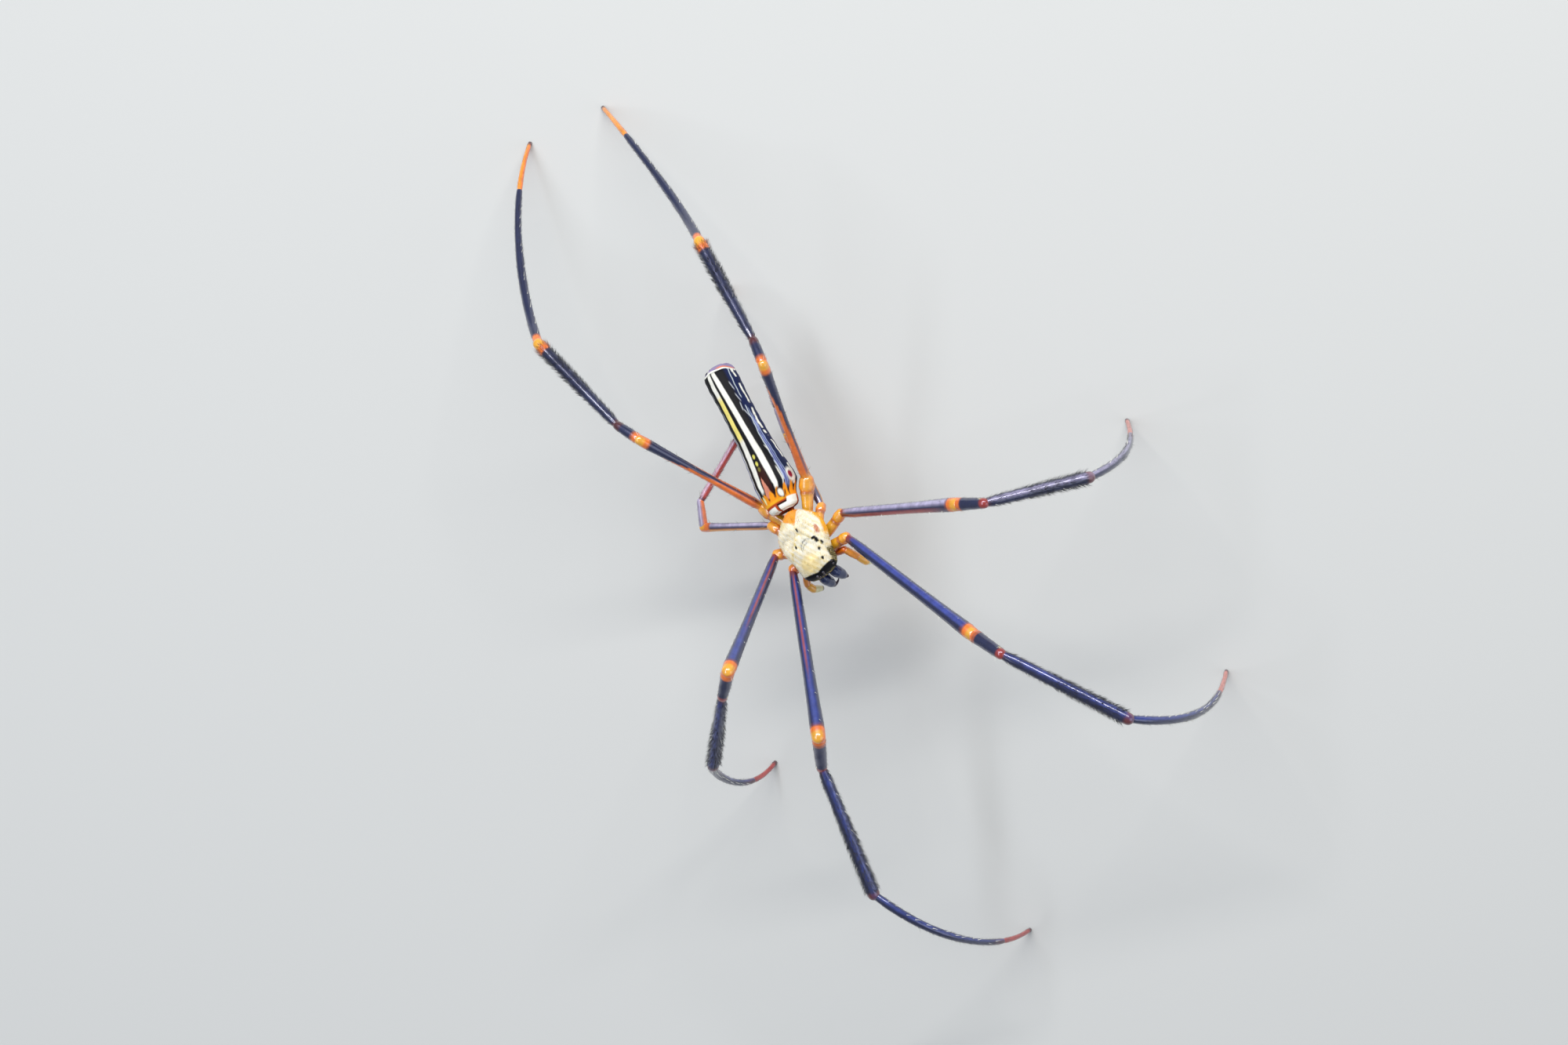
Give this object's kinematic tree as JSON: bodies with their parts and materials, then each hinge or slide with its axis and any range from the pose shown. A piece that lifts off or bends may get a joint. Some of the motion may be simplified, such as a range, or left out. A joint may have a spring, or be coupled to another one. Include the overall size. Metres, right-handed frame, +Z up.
{
  "type": "golden silk orb weaver",
  "caption": "Life-size still model of a female golden silk orb weaver spider, standing on its leg tips with long curved legs and a slender striped abdomen.",
  "frame": {"origin": "on the floor, below the middle of the animal's outline seen from above", "axes": "+Z up, -Y the way the head looks, +X the spider's left"},
  "size_m": [0.101, 0.1786, 0.0503],
  "materials": {
    "silver_hair": "short pale gold hair over dark cuticle",
    "black_cuticle": "glossy blue-black cuticle with short bristles",
    "orange_cuticle": "satin orange cuticle",
    "striped_cuticle": "satin black with pale stripes",
    "red_cuticle": "satin reddish brown"
  },
  "bodies": {
    "root": {"abdomen": "striped_cuticle", "carapace": "silver_hair", "chelicera_left": "black_cuticle", "chelicera_right": "black_cuticle", "coxa_left_1": "orange_cuticle", "coxa_left_2": "orange_cuticle", "coxa_left_3": "orange_cuticle", "coxa_left_4": "orange_cuticle", "coxa_right_1": "orange_cuticle", "coxa_right_2": "orange_cuticle", "coxa_right_3": "orange_cuticle", "coxa_right_4": "orange_cuticle", "fang_left": "black_cuticle", "fang_right": "black_cuticle", "femur_left_1": "black_cuticle", "femur_left_2": "black_cuticle", "femur_left_3": "black_cuticle", "femur_left_4": "black_cuticle", "femur_right_1": "black_cuticle", "femur_right_2": "black_cuticle", "femur_right_3": "black_cuticle", "femur_right_4": "black_cuticle", "metatarsus_left_1": "black_cuticle", "metatarsus_left_2": "black_cuticle", "metatarsus_left_3": "black_cuticle", "metatarsus_left_4": "black_cuticle", "metatarsus_right_1": "black_cuticle", "metatarsus_right_2": "black_cuticle", "metatarsus_right_3": "black_cuticle", "metatarsus_right_4": "black_cuticle", "palp_left": "orange_cuticle", "palp_right": "orange_cuticle", "patella_left_1": "black_cuticle", "patella_left_2": "black_cuticle", "patella_left_3": "black_cuticle", "patella_left_4": "black_cuticle", "patella_right_1": "black_cuticle", "patella_right_2": "black_cuticle", "patella_right_3": "black_cuticle", "patella_right_4": "black_cuticle", "pedicel": "orange_cuticle", "spinnerets": "red_cuticle", "sternum": "orange_cuticle", "tarsus_left_1": "red_cuticle", "tarsus_left_2": "red_cuticle", "tarsus_left_3": "orange_cuticle", "tarsus_left_4": "orange_cuticle", "tarsus_right_1": "red_cuticle", "tarsus_right_2": "red_cuticle", "tarsus_right_3": "orange_cuticle", "tarsus_right_4": "orange_cuticle", "tibia_left_1": "black_cuticle", "tibia_left_2": "black_cuticle", "tibia_left_3": "black_cuticle", "tibia_left_4": "black_cuticle", "tibia_right_1": "black_cuticle", "tibia_right_2": "black_cuticle", "tibia_right_3": "black_cuticle", "tibia_right_4": "black_cuticle"}
  },
  "joints": []
}
